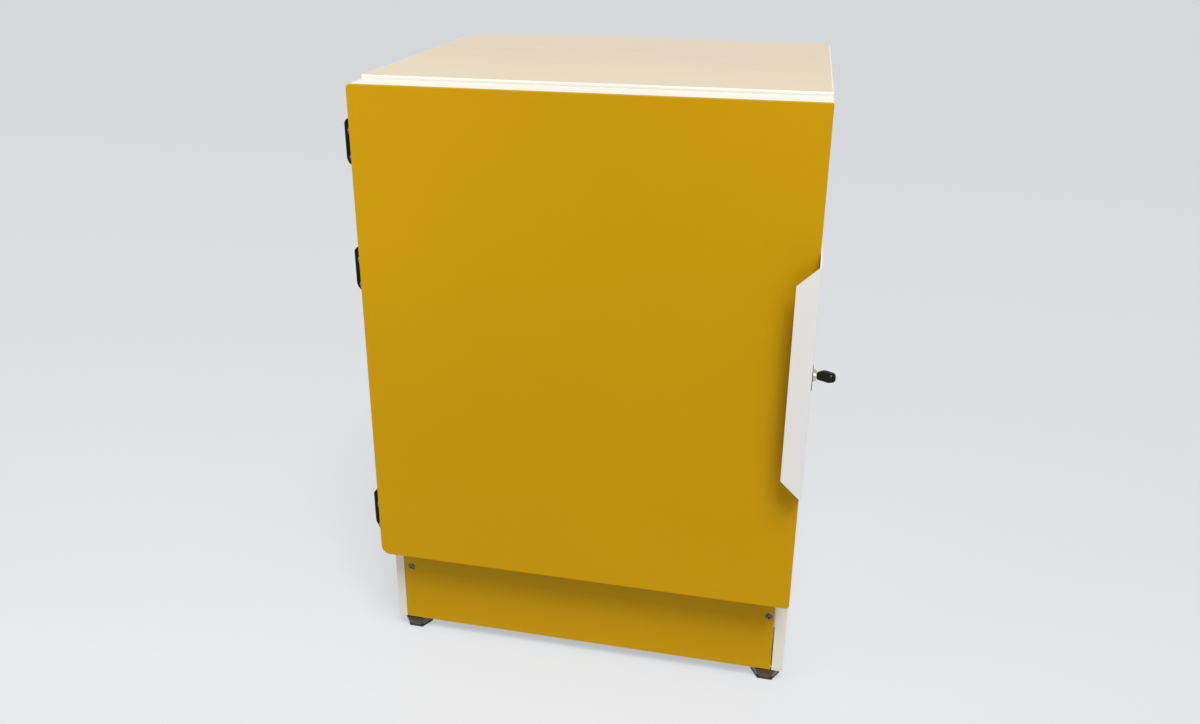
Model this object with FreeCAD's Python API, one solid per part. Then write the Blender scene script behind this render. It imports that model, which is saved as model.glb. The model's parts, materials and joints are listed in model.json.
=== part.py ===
import FreeCAD
import Part
import math
import os

# A lead-lined storage cabinet, in millimetres. X is to the right, Y to the back and Z up.
# The origin is on the floor, under the middle of the cabinet with its door shut.

V = FreeCAD.Vector

# Overall sizes
width = 600.0
body_depth = 480.0
height = 874.0
foot_height = 22.0
plinth_height = 146.0

# Walls: an outer steel skin, a sheet of lead and an inner steel liner
skin = 2.0
lead = 12.0
liner = 2.0

# Worktop
top_thickness = 26.0
top_laminate = 1.0
top_edging = 2.0
top_rear_left_radius = 36.0
top_rear_right_radius = 22.0
top_front_radius = 3.0
top_edge_round = 1.5

# Door
door_top_drop = 4.0
door_thickness = 44.0
door_gap = 4.0
door_sill = 2.0
door_radius_low_left = 13.0
door_radius_low_right = 5.0
door_radius_high_right = 2.5
door_radius_high_left = 6.0
door_edge_round = 1.5
door_face = 2.0
door_skin = 2.0
door_lead = 12.0
door_inner = 2.0
door_frame_width = 50.0

# Door seal
seal_width = 10.0
seal_corner = 3.0
seal_clearance = 0.3

# Handle: one folded sheet, with a flange on the door's edge and a grip in front of the door
handle_sheet = 2.0
handle_proud = 26.0
handle_grip = 28.0
handle_length = 318.0
handle_chamfer = 25.0
handle_flange = 42.0
handle_flange_rise = 11.0
handle_corner_round = 1.0
handle_bend = 1.5
handle_screw_spacing = 230.0
handle_screw_radius = 2.5
handle_screw_head_radius = 4.5
handle_screw_socket = 3.0
handle_screw_bite = 20.0

# Hinges
hinge_height = 70.0
hinge_knuckle_radius = 11.0
hinge_stand_off = 15.0
hinge_leaf_width = 36.0
hinge_leaf_edge = 4.0
hinge_end_taper = 6.0
hinge_leaf_corner = 6.0
hinge_barrel_round = 18.0
hinge_pin_radius = 4.0
hinge_middle_knuckle = 26.0
hinge_knuckle_gap = 0.5
hinge_seat = 5.0
hinge_screw_radius = 3.0
hinge_screw_head_radius = 5.5
hinge_screw_head = 4.0
hinge_screw_socket = 5.0
hinge_screw_spacing = 36.0
hinge_screw_reach = 24.0
hinge_block = 8.0
hinge_block_width = 30.0
hinge_block_height = 56.0
hinge_screw_bite_door = 20.0
hinge_top_drop = 82.0
hinge_middle_drop = 259.5
hinge_bottom_rise = 54.5

# Lock
lock_drop = 355.5
lock_barrel_radius = 9.0
lock_barrel_length = 26.0
lock_plug_radius = 6.0
lock_plate = 2.3
lock_plate_height = 36.0
lock_plate_width = 24.0
lock_plate_drop = 3.5
lock_collar_radius = 8.5
lock_collar_tip_radius = 7.0
lock_collar_length = 4.5
lock_nut_radius = 12.0
lock_nut_thickness = 4.0
cam_thickness = 3.0
cam_width = 12.0
cam_tail = 7.0
cam_reach = 40.0
cam_hook = 8.5
cam_tail_round = 4.0
cam_end_round = 3.0
cam_hook_round = 1.0
cam_screw_radius = 2.0
cam_screw_length = 10.0
cam_screw_head_radius = 4.5
cam_screw_head = 3.5
cam_screw_socket = 3.0
keeper_thickness = 3.0
keeper_setback = 3.0
keeper_height = 36.0
keeper_depth = 30.0
keeper_play = 1.0
keeper_clearance = 2.0

# Key
key_blade_thickness = 2.0
key_blade_height = 8.0
key_blade_length = 24.0
key_tip = 2.0
key_cut_depths = (1.2, 2.4, 1.6, 2.8, 1.4)
key_cut_pitch = 3.6
key_cut_flat = 1.0
key_head_length = 23.7
key_neck_height = 8.5
key_head_high = 8.3
key_head_low = 7.9
key_end_high = 4.5
key_end_low = 6.0
key_head_thickness = 5.5
key_high_bulge = 9.0
key_low_bulge = 15.0
key_bulge_round = 10.0
key_end_round = 4.5
key_neck_round = 2.5
key_shoulder = 0.6
key_ring_hole_radius = 1.4
key_ring_hole_inset = 5.7
key_ring_hole_rise = 1.5
key_play = 0.1
key_end_gap = 1.0

# Levelling feet
foot_inset_x = 25.0
foot_inset_y = 22.0
foot_stud_radius = 6.0
foot_stud_length = 44.0
foot_rim_radius = 25.0
foot_rim = 2.5
foot_base_radius = 22.0
foot_pad_radius = 21.0
foot_pad_height = 4.0
foot_spigot_radius = 4.0
foot_spigot = 2.5
foot_top_gap = 1.5
foot_bracket = 4.0
foot_bracket_width = 60.0
foot_bush_radius = 10.0
foot_bush = 18.0

# Plinth
plinth_left_strip = 13.0
plinth_left_gap = 0.5
plinth_right_gap = 1.5
plinth_top_gap = 1.0
plinth_return = 18.0
plinth_screw_inset = 25.5
plinth_screw_drop = 51.0
plinth_screw_head_radius = 5.5
plinth_screw_top_radius = 3.3
plinth_screw_head = 3.0
plinth_screw_socket = 4.0
plinth_screw_radius = 3.0
plinth_screw_length = 12.0
plinth_bracket_height = 40.0
plinth_bracket_reach = 22.0
plinth_bracket_depth = 30.0

# Shelf
shelf_rise = 246.0
shelf_sheet = 2.0
shelf_lip = 25.0
shelf_side_gap = 1.0
shelf_front_gap = 25.0
shelf_back_gap = 3.0
peg_radius = 3.0
peg_reach = 10.0
peg_inset = 60.0
peg_pitch = 50.0
pegs_each_way = 2

# Back panel rivets
rivet_radius = 4.0
rivet_top_radius = 2.4
rivet_head = 1.2
rivet_shank_radius = 2.0
rivet_inset = 60.0
rivets_per_side = 5

# Clearances
running = 0.05
hole_play = 0.1
socket_depth_share = 0.6
least_radius = 0.5
least_flat = 0.5
same_place = 0.001

# Places worked out from the sizes above
wall = skin + lead + liner
x_out = width / 2
x_skin = x_out - skin
x_lead = x_skin - lead
x_in = x_out - wall
overall_depth = body_depth + door_gap + door_thickness + handle_proud
y_back = overall_depth / 2
y_front = y_back - body_depth
y_behind_flange = y_front + skin
y_back_skin = y_back - 2 * skin
y_back_lead = y_back_skin - lead
y_back_in = y_back_lead - liner
y_door_back = y_front - door_gap
y_door_front = y_door_back - door_thickness
y_door_casing = y_door_front + door_face
y_door_lead = y_door_casing + door_skin
y_door_frame = y_door_lead + door_lead
y_door_inner = y_door_back - door_inner
z_base = foot_height + plinth_height
z_cavity = z_base + wall
z_carcass = height - top_thickness
z_ceiling = z_carcass - wall
z_door = z_base + door_sill
z_door_top = height - door_top_drop
z_door_middle = (z_door + z_door_top) / 2

x_pivot = -x_out - hinge_stand_off
y_pivot = y_front - door_gap / 2
hinge_heights = {
    "top": z_door_top - hinge_top_drop,
    "middle": z_door_top - hinge_middle_drop,
    "bottom": z_door + hinge_bottom_rise,
}

x_plinth_strip = -x_out + plinth_left_strip
z_plinth_top = z_base - plinth_top_gap
y_lock = (y_door_frame + y_door_inner) / 2
z_lock = z_door_top - lock_drop
x_lock_face = x_out + handle_sheet
x_lock_plate = x_lock_face + lock_plate
x_lock_nose = x_lock_plate + lock_collar_length
x_barrel_end = x_lock_face - lock_barrel_length
x_cam = x_barrel_end - hole_play - cam_thickness
x_cam_screw = x_cam - cam_screw_head
notch_low = z_lock - cam_reach - 2 * keeper_clearance
notch_high = z_lock + lock_nut_radius + 2 * keeper_clearance
y_keeper = y_front + keeper_setback
y_keeper_back = y_keeper + keeper_thickness
cam_hook_start = y_keeper_back + keeper_play - y_lock

foot_places = {
    "front_left": (-x_out + foot_inset_x, y_front + foot_inset_y),
    "front_right": (x_out - foot_inset_x, y_front + foot_inset_y),
    "rear_left": (-x_out + foot_inset_x, y_back - foot_inset_y),
    "rear_right": (x_out - foot_inset_x, y_back - foot_inset_y),
}


def box(x0, x1, y0, y1, z0, z1):
    """A block between two X, two Y and two Z planes."""
    return Part.makeBox(x1 - x0, y1 - y0, z1 - z0, V(x0, y0, z0))


def rod(start, along, radius, length):
    """A cylinder from a point, along a direction."""
    return Part.makeCylinder(radius, length, V(*start), V(*along))


def cone(start, along, radius, end_radius, length):
    """A cone or tapered disc from a point, along a direction."""
    return Part.makeCone(radius, end_radius, length, V(*start), V(*along))


def fused(first, *others):
    """One solid from several that touch or overlap."""
    return first.fuse(list(others)).removeSplitter()


def in_xy(z):
    """Places a flat outline's two coordinates as X and Y."""
    return lambda u, v: V(u, v, z)


def in_xz(y):
    """Places a flat outline's two coordinates as X and Z."""
    return lambda u, v: V(u, y, v)


def in_yz(x):
    """Places a flat outline's two coordinates as Y and Z."""
    return lambda u, v: V(x, u, v)


def heading(start, end):
    """The flat direction from one corner to another."""
    return V(end[0] - start[0], end[1] - start[1], 0).normalize()


def outline(corners, place):
    """A flat face from (u, v, radius) corners, each rounded with an arc."""
    edges = []
    joins = []
    for i, (u, v, radius) in enumerate(corners):
        if radius == 0:
            joins.append((place(u, v), None, place(u, v)))
            continue
        before = heading(corners[i], corners[i - 1])
        after = heading(corners[i], corners[(i + 1) % len(corners)])
        half = math.acos(max(-1.0, min(1.0, before.x * after.x + before.y * after.y))) / 2
        reach = radius / math.tan(half)
        middle = (before + after).normalize()
        depth = radius / math.sin(half) - radius
        joins.append((
            place(u + before.x * reach, v + before.y * reach),
            place(u + middle.x * depth, v + middle.y * depth),
            place(u + after.x * reach, v + after.y * reach),
        ))
    for i, (start, middle, end) in enumerate(joins):
        if middle is not None:
            edges.append(Part.Arc(start, middle, end).toShape())
        following = joins[(i + 1) % len(joins)][0]
        if end.distanceToPoint(following) > same_place:
            edges.append(Part.LineSegment(end, following).toShape())
    return Part.Face(Part.Wire(edges))


def slab(corners, place, along):
    """A rounded outline pushed along a direction."""
    return outline(corners, place).extrude(V(*along))


def plate_corners(u0, u1, v0, v1, radius):
    """The four corners of a rectangle that share one radius."""
    return [(u0, v0, radius), (u1, v0, radius), (u1, v1, radius), (u0, v1, radius)]


def hexagon(u, v, across, place, along):
    """A six-sided bar or socket round a point of the flat, by its size across the flats."""
    radius = across / math.sqrt(3)
    points = []
    for i in range(6):
        turn = math.radians(60 * i)
        points.append((u + radius * math.cos(turn), v + radius * math.sin(turn), 0))
    return slab(points, place, along)


# Carcass

def side_panel(side):
    """One side's outer skin, folded over in front, behind and below. The left strip is narrower
    beside the plinth panel.
    """
    outer = side * x_out
    inner = side * x_skin
    edge = side * x_in
    face = box(min(outer, inner), max(outer, inner), y_front, y_back, foot_height, z_carcass)
    near = min(outer, edge)
    far = max(outer, edge)
    front = box(near, far, y_front, y_behind_flange, foot_height, z_carcass)
    back = box(near, far, y_back - skin, y_back, foot_height, z_carcass)
    bottom = box(near, far, y_front, y_back, foot_height, foot_height + skin)
    panel = fused(face, front, back, bottom)
    if side < 0:
        panel = panel.cut(box(x_plinth_strip, -x_in, y_front, y_behind_flange, foot_height,
                              z_plinth_top))
        for z in hinge_heights.values():
            for hole in hinge_screw_holes(z, 1):
                panel = panel.cut(hole)
    for hole in rivet_holes(side):
        panel = panel.cut(hole)
    return panel


def rivet_spots(side):
    """Where the rivets hold the back panel to one side's rear flange."""
    low = foot_height + rivet_inset
    step = (z_carcass - rivet_inset - low) / (rivets_per_side - 1)
    x = side * (x_out + x_in) / 2
    return [(x, low + i * step) for i in range(rivets_per_side)]


def rivet_holes(side):
    """The holes for one side's rivets, through the flange and the back panel."""
    radius = rivet_shank_radius + hole_play
    return [rod((x, y_back_skin, z), (0, 1, 0), radius, 2 * skin) for x, z in rivet_spots(side)]


def back_panel():
    """The outer back skin, held behind the side panels' rear flanges."""
    panel = box(-x_skin, x_skin, y_back_skin, y_back - skin, foot_height + skin, z_carcass)
    for side in (-1, 1):
        for hole in rivet_holes(side):
            panel = panel.cut(hole)
    return panel


def back_panel_rivets():
    """Domed rivets along both rear flanges."""
    rivets = []
    for side in (-1, 1):
        for x, z in rivet_spots(side):
            shank = rod((x, y_back_skin, z), (0, 1, 0), rivet_shank_radius, 2 * skin)
            head = cone((x, y_back, z), (0, 1, 0), rivet_radius, rivet_top_radius, rivet_head)
            rivets.append(fused(shank, head))
    return Part.makeCompound(rivets)


def base_tray():
    """The floor skin of the cabinet, turned up at the front to close the wall."""
    floor = box(-x_skin, x_skin, y_behind_flange, y_back_skin, z_base, z_base + skin)
    front = box(-x_in, x_in, y_front, y_behind_flange, z_base, z_cavity)
    return fused(floor, front)


def roof_tray():
    """The roof skin under the worktop, turned down at the front to close the wall."""
    roof = box(-x_skin, x_skin, y_behind_flange, y_back_skin, z_carcass - skin, z_carcass)
    front = box(-x_in, x_in, y_front, y_behind_flange, z_ceiling, z_carcass)
    return fused(roof, front)


def hinge_block_space(z):
    """The space of one steel block behind the left skin."""
    y = y_pivot + hinge_screw_reach - hinge_block_width / 2
    low = z - hinge_block_height / 2
    return box(-x_skin, -x_skin + hinge_block, y, y + hinge_block_width, low,
               low + hinge_block_height)


def hinge_backing_blocks():
    """The steel blocks that the cabinet's hinge screws are threaded into."""
    blocks = []
    for z in hinge_heights.values():
        block = hinge_block_space(z)
        for hole in hinge_screw_holes(z, 1):
            block = block.cut(hole)
        blocks.append(block)
    return Part.makeCompound(blocks)


def pocketed(sheet):
    """A lead sheet with a pocket for each hinge block that reaches into it."""
    for z in hinge_heights.values():
        sheet = sheet.cut(hinge_block_space(z))
    return sheet


def lead_left():
    """The left lead sheet."""
    return pocketed(box(-x_skin, -x_lead, y_behind_flange, y_back_skin, z_base + skin + lead,
                        z_carcass - skin - lead))


def lead_right():
    """The right lead sheet."""
    return box(x_lead, x_skin, y_behind_flange, y_back_skin, z_base + skin + lead,
               z_carcass - skin - lead)


def lead_back():
    """The lead sheet behind the liner."""
    return box(-x_lead, x_lead, y_back_lead, y_back_skin, z_base + skin + lead,
               z_carcass - skin - lead)


def lead_base():
    """The lead sheet under the liner."""
    low = z_base + skin
    return pocketed(box(-x_skin, x_skin, y_behind_flange, y_back_skin, low, low + lead))


def lead_top():
    """The lead sheet over the liner."""
    high = z_carcass - skin
    return pocketed(box(-x_skin, x_skin, y_behind_flange, y_back_skin, high - lead, high))


def peg_columns():
    """The two columns of shelf holes, front and back."""
    return (y_front + peg_inset, y_back_in - peg_inset)


def peg_height():
    """The middle of the pegs that the shelf lies on."""
    return z_cavity + shelf_rise - peg_radius


def liner_side(side):
    """One inner side wall, with rows of holes for the shelf pegs."""
    near = min(side * x_lead, side * x_in)
    far = max(side * x_lead, side * x_in)
    wall_sheet = box(near, far, y_behind_flange, y_back_lead, z_cavity, z_ceiling)
    for y in peg_columns():
        for i in range(-pegs_each_way, pegs_each_way + 1):
            z = peg_height() + i * peg_pitch
            hole = rod((near, y, z), (1, 0, 0), peg_radius + hole_play, liner)
            wall_sheet = wall_sheet.cut(hole)
    return wall_sheet


def liner_back():
    """The inner back wall, between the inner side walls."""
    return box(-x_in, x_in, y_back_in, y_back_lead, z_cavity, z_ceiling)


def liner_base():
    """The inner floor."""
    return box(-x_lead, x_lead, y_behind_flange, y_back_lead, z_cavity - liner, z_cavity)


def liner_top():
    """The inner ceiling."""
    return box(-x_lead, x_lead, y_behind_flange, y_back_lead, z_ceiling, z_ceiling + liner)


def shelf():
    """A sheet steel shelf, turned down at its front and back."""
    half = x_in - shelf_side_gap
    front = y_front + shelf_front_gap
    back = y_back_in - shelf_back_gap
    low = z_cavity + shelf_rise
    sheet = box(-half, half, front, back, low, low + shelf_sheet)
    front_lip = box(-half, half, front, front + shelf_sheet, low - shelf_lip, low)
    back_lip = box(-half, half, back - shelf_sheet, back, low - shelf_lip, low)
    return fused(sheet, front_lip, back_lip)


def shelf_pegs():
    """Four pegs through the liner's holes."""
    pegs = []
    for y in peg_columns():
        for side in (-1, 1):
            start = (side * x_lead, y, peg_height())
            pegs.append(rod(start, (-side, 0, 0), peg_radius, liner + peg_reach))
    return Part.makeCompound(pegs)


# Worktop

def worktop_corners(inset):
    """The worktop's outline, moved inwards by an inset."""
    x = x_out - inset
    front = y_front + inset
    back = y_back - inset
    near = max(top_front_radius - inset, least_radius)
    return [
        (-x, front, near),
        (x, front, near),
        (x, back, max(top_rear_right_radius - inset, least_radius)),
        (-x, back, max(top_rear_left_radius - inset, least_radius)),
    ]


def worktop_core():
    """The board of the worktop."""
    return slab(worktop_corners(top_edging), in_xy(z_carcass),
                (0, 0, top_thickness - top_laminate))


def worktop_laminate():
    """The sheet on top of the board."""
    return slab(worktop_corners(top_edging), in_xy(height - top_laminate), (0, 0, top_laminate))


def worktop_edging():
    """The strip around the board, with its outer edges rounded."""
    outer = slab(worktop_corners(0), in_xy(z_carcass), (0, 0, top_thickness))
    rims = [e for e in outer.Edges if abs(e.CenterOfMass.z - height) < same_place]
    outer = outer.makeFillet(top_edge_round, rims)
    inner = slab(worktop_corners(top_edging), in_xy(z_carcass), (0, 0, top_thickness))
    return outer.cut(inner)


# Plinth and feet

def plinth_screw_spots():
    """Where the two screws hold the plinth panel."""
    x = x_out - plinth_screw_inset
    z = z_base - plinth_screw_drop
    return [(-x, z), (x, z)]


def plinth_screw_holes():
    """The holes for the plinth screws."""
    radius = plinth_screw_radius + hole_play
    depth = plinth_screw_length + skin
    return [rod((x, y_front, z), (0, 1, 0), radius, depth) for x, z in plinth_screw_spots()]


def plinth_panel():
    """The coloured front panel under the door, folded back at its top and bottom."""
    left = x_plinth_strip + plinth_left_gap
    right = x_in - plinth_right_gap
    high = z_plinth_top
    face = box(left, right, y_front, y_behind_flange, foot_height, high)
    top = box(left, right, y_front, y_front + plinth_return, high - skin, high)
    reach = right - foot_bracket_width
    bottom = box(-reach, reach, y_front, y_front + plinth_return, foot_height, foot_height + skin)
    panel = fused(face, top, bottom)
    for hole in plinth_screw_holes():
        panel = panel.cut(hole)
    return panel


def plinth_brackets():
    """An angle inside each side panel, which the plinth panel is screwed to."""
    brackets = []
    for (x, z), hole in zip(plinth_screw_spots(), plinth_screw_holes()):
        side = math.copysign(1, x)
        low = z - plinth_bracket_height / 2
        high = z + plinth_bracket_height / 2
        wide = side * (x_in - plinth_bracket_reach)
        skin_face = side * x_skin
        inner_leg = side * (x_skin - skin)
        front = box(min(wide, skin_face), max(wide, skin_face), y_behind_flange,
                    y_behind_flange + skin, low, high)
        leg = box(min(inner_leg, skin_face), max(inner_leg, skin_face), y_behind_flange,
                  y_behind_flange + plinth_bracket_depth, low, high)
        brackets.append(fused(front, leg).cut(hole))
    return Part.makeCompound(brackets)


def plinth_screws():
    """Two button-head screws with a six-sided socket."""
    screws = []
    for x, z in plinth_screw_spots():
        shank = rod((x, y_front, z), (0, 1, 0), plinth_screw_radius, plinth_screw_length)
        head = cone((x, y_front, z), (0, -1, 0), plinth_screw_head_radius,
                    plinth_screw_top_radius, plinth_screw_head)
        socket = hexagon(x, z, plinth_screw_socket, in_xz(y_front - plinth_screw_head),
                         (0, plinth_screw_head * socket_depth_share, 0))
        screws.append(fused(shank, head).cut(socket))
    return Part.makeCompound(screws)


def foot_brackets():
    """A corner plate with a threaded bush over each foot, lying on the side panel's bottom flange."""
    brackets = []
    low = foot_height + skin
    for x, y in foot_places.values():
        side = math.copysign(1, x)
        wall_x = side * x_skin
        inner_x = side * (x_skin - foot_bracket_width)
        if y < 0:
            y0 = y_behind_flange
        else:
            y0 = y_back_skin - foot_bracket_width
        plate = box(min(wall_x, inner_x), max(wall_x, inner_x), y0, y0 + foot_bracket_width,
                    low, low + foot_bracket)
        bush = rod((x, y, low + foot_bracket), (0, 0, 1), foot_bush_radius, foot_bush)
        bore = rod((x, y, low), (0, 0, 1), foot_stud_radius + running, foot_bracket + foot_bush)
        brackets.append(fused(plate, bush).cut(bore))
    return Part.makeCompound(brackets)


def six_sides(x, y, z, radius):
    """A level six-sided outline with two of its corners along X."""
    turns = [math.radians(60 * i) for i in range(7)]
    return Part.makePolygon([V(x + radius * math.cos(t), y + radius * math.sin(t), z) for t in turns])


def six_sided_taper(x, y, low, high, low_radius, high_radius):
    """A six-sided block whose corners lie on one circle below and on another above."""
    ends = [six_sides(x, y, low, low_radius), six_sides(x, y, high, high_radius)]
    return Part.makeLoft(ends, True, True)


def foot_stud(x, y):
    """A threaded stud on a six-sided foot that widens upwards."""
    top = foot_height - foot_top_gap
    low = foot_pad_height + hole_play
    body = six_sided_taper(x, y, low, top - foot_rim, foot_base_radius, foot_rim_radius)
    rim = six_sided_taper(x, y, top - foot_rim, top, foot_rim_radius, foot_rim_radius)
    stud = rod((x, y, top), (0, 0, 1), foot_stud_radius, foot_stud_length)
    spigot = rod((x, y, low - foot_spigot), (0, 0, 1), foot_spigot_radius, foot_spigot)
    return fused(body, rim, stud, spigot)


def foot_pad(x, y):
    """The plastic pad under a foot, which the stud turns in."""
    pad = six_sided_taper(x, y, 0, foot_pad_height, foot_pad_radius, foot_base_radius)
    socket_floor = foot_pad_height - foot_spigot
    socket = rod((x, y, socket_floor), (0, 0, 1), foot_spigot_radius + running, foot_spigot)
    return pad.cut(socket)


# Hinges

def hinge_screw_spots(z, side):
    """The screws of one leaf: side is 1 for the cabinet's leaf and -1 for the door's."""
    y = y_pivot + side * hinge_screw_reach
    return [(y, z - hinge_screw_spacing / 2), (y, z + hinge_screw_spacing / 2)]


def hinge_screw_length(side):
    """How far a hinge screw reaches from its seat."""
    if side > 0:
        return hinge_seat + skin + hinge_block
    return hinge_seat + door_skin + hinge_screw_bite_door


def hinge_screw_holes(z, side):
    """The screw holes of one leaf, from the leaf's seats inwards."""
    radius = hinge_screw_radius + hole_play
    start = -x_out - hinge_seat
    length = hinge_screw_length(side)
    return [rod((start, y, s), (1, 0, 0), radius, length) for y, s in hinge_screw_spots(z, side)]


def hinge_leaf(z, side):
    """One leaf and its knuckles. The cabinet's leaf has the outer knuckles, the door's the middle one."""
    low = z - hinge_height / 2
    section = [
        (-x_out, y_pivot + side * hinge_knuckle_gap, 0),
        (-x_out, y_pivot + side * hinge_leaf_width, 0),
        (-x_out - hinge_leaf_edge, y_pivot + side * hinge_leaf_width, 0),
        (x_pivot, y_pivot + side * hinge_knuckle_radius, 0),
        (x_pivot, y_pivot + side * hinge_knuckle_gap, 0),
    ]
    leaf = slab(section, in_xy(low), (0, 0, hinge_height))
    barrel = rod((x_pivot, y_pivot, low), (0, 0, 1), hinge_knuckle_radius, hinge_height)
    leaf = fused(leaf, barrel)
    half = hinge_middle_knuckle / 2
    clear = hinge_knuckle_radius + hinge_knuckle_gap
    if side > 0:
        zones = [(z - half - hinge_knuckle_gap / 2, z + half + hinge_knuckle_gap / 2)]
    else:
        beyond = hinge_height
        zones = [(z - beyond, z - half + hinge_knuckle_gap / 2),
                 (z + half - hinge_knuckle_gap / 2, z + beyond)]
    for start, end in zones:
        leaf = leaf.cut(rod((x_pivot, y_pivot, start), (0, 0, 1), clear, end - start))
    bore = hinge_pin_radius + running
    leaf = leaf.cut(rod((x_pivot, y_pivot, low), (0, 0, 1), bore, hinge_height))
    leaf = leaf.common(hinge_front_shape(z)).common(hinge_side_shape(z, side))
    seat_start = -x_out - hinge_seat
    for y, screw_z in hinge_screw_spots(z, side):
        seat = rod((seat_start, y, screw_z), (-1, 0, 0), hinge_screw_head_radius + 2 * hole_play,
                   hinge_stand_off)
        leaf = leaf.cut(seat)
    for hole in hinge_screw_holes(z, side):
        leaf = leaf.cut(hole)
    return leaf


def hinge_front_shape(z):
    """A hinge seen from the front: full height at the cabinet, tapered towards the barrel."""
    half = hinge_height / 2
    outer = x_pivot - hinge_knuckle_radius
    points = [
        (-x_out, z - half, 0),
        (-x_out, z + half, 0),
        (-x_out - hinge_leaf_edge, z + half, 0),
        (outer, z + half - hinge_end_taper, hinge_barrel_round),
        (outer, z - half + hinge_end_taper, hinge_barrel_round),
        (-x_out - hinge_leaf_edge, z - half, 0),
    ]
    return slab(points, in_xz(y_pivot - hinge_leaf_width), (0, 2 * hinge_leaf_width, 0))


def hinge_side_shape(z, side):
    """A leaf seen from the side, with its far corners rounded."""
    half = hinge_height / 2
    near = y_pivot - side * hinge_knuckle_radius
    far = y_pivot + side * hinge_leaf_width
    points = [
        (near, z - half, 0),
        (far, z - half, hinge_leaf_corner),
        (far, z + half, hinge_leaf_corner),
        (near, z + half, 0),
    ]
    outer = x_pivot - hinge_knuckle_radius
    return slab(points, in_yz(outer), (-x_out - outer, 0, 0))


def hinge_pins():
    """The three hinge pins."""
    length = hinge_height - 2 * hinge_end_taper
    return Part.makeCompound([
        rod((x_pivot, y_pivot, z - length / 2), (0, 0, 1), hinge_pin_radius, length)
        for z in hinge_heights.values()
    ])


def hinge_screws(side):
    """Socket-head screws for all the leaves of one side."""
    screws = []
    start = -x_out - hinge_seat
    for z in hinge_heights.values():
        for y, screw_z in hinge_screw_spots(z, side):
            shank = rod((start, y, screw_z), (1, 0, 0), hinge_screw_radius,
                        hinge_screw_length(side))
            head = rod((start, y, screw_z), (-1, 0, 0), hinge_screw_head_radius,
                       hinge_screw_head)
            socket = hexagon(y, screw_z, hinge_screw_socket, in_yz(start - hinge_screw_head),
                             (hinge_screw_head * socket_depth_share, 0, 0))
            screws.append(fused(shank, head).cut(socket))
    return Part.makeCompound(screws)


# Door

def door_slab(inset, y0, y1):
    """A slab with the door's rounded outline, moved inwards by an inset."""
    x = x_out - inset
    low = z_door + inset
    high = z_door_top - inset
    corners = [
        (-x, low, max(door_radius_low_left - inset, least_radius)),
        (x, low, max(door_radius_low_right - inset, least_radius)),
        (x, high, max(door_radius_high_right - inset, least_radius)),
        (-x, high, max(door_radius_high_left - inset, least_radius)),
    ]
    return slab(corners, in_xz(y0), (0, y1 - y0, 0))


def door_front_panel():
    """The coloured sheet on the front of the door, with its front edges rounded."""
    sheet = door_slab(0, y_door_front, y_door_casing)
    rims = [e for e in sheet.Edges if abs(e.CenterOfMass.y - y_door_front) < same_place]
    return sheet.makeFillet(door_edge_round, rims)


def door_casing():
    """The white casing behind the front sheet, folded back on all four sides."""
    shell = door_slab(0, y_door_casing, y_door_back)
    shell = shell.cut(door_slab(door_skin, y_door_lead, y_door_back))
    for z in hinge_heights.values():
        for hole in hinge_screw_holes(z, -1):
            shell = shell.cut(hole)
    return cut_for_handle_and_lock(shell)


def door_lead_sheet():
    """The lead sheet in the front of the door's casing."""
    return door_slab(door_skin, y_door_lead, y_door_frame)


def door_frame():
    """The timber frame inside the door, with a notch for the lock."""
    outer = door_slab(door_skin, y_door_frame, y_door_inner)
    inner = door_infill_space()
    frame = outer.cut(inner)
    notch_x = x_cam_screw - 2 * keeper_clearance
    frame = frame.cut(box(notch_x, x_out, y_door_frame, y_door_inner, notch_low, notch_high))
    for z in hinge_heights.values():
        for hole in hinge_screw_holes(z, -1):
            frame = frame.cut(hole)
    return cut_for_handle_and_lock(frame)


def door_infill_space():
    """The space inside the door's frame."""
    inset = door_skin + door_frame_width
    return box(-x_out + inset, x_out - inset, y_door_frame, y_door_inner, z_door + inset,
               z_door_top - inset)


def door_inner_panel():
    """The door's inner skin, with a slot for the cam."""
    panel = door_slab(door_skin, y_door_inner, y_door_back)
    slot_side = keeper_clearance / 2
    slot = box(x_cam - slot_side, x_cam + cam_thickness + slot_side, y_door_inner, y_door_back,
               notch_low, z_lock + cam_width / 2 + keeper_clearance)
    return panel.cut(slot)


def door_seal():
    """A rubber strip around the cabinet's mouth, which the shut door rests against."""
    thickness = door_gap - seal_clearance
    middle = (x_out + x_in) / 2
    reach = middle + seal_width / 2
    low = (z_door + z_cavity) / 2 - seal_width / 2
    high = (z_ceiling + z_carcass) / 2 + seal_width / 2
    outer = slab(plate_corners(-reach, reach, low, high, seal_corner),
                 in_xz(y_front - thickness), (0, thickness, 0))
    inner = box(-reach + seal_width, reach - seal_width, y_front - thickness, y_front,
                low + seal_width, high - seal_width)
    return outer.cut(inner)


# Handle

def handle_screw_heights():
    """The two screws of the handle, one each side of the lock."""
    return (z_door_middle - handle_screw_spacing / 2, z_door_middle + handle_screw_spacing / 2)


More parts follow.
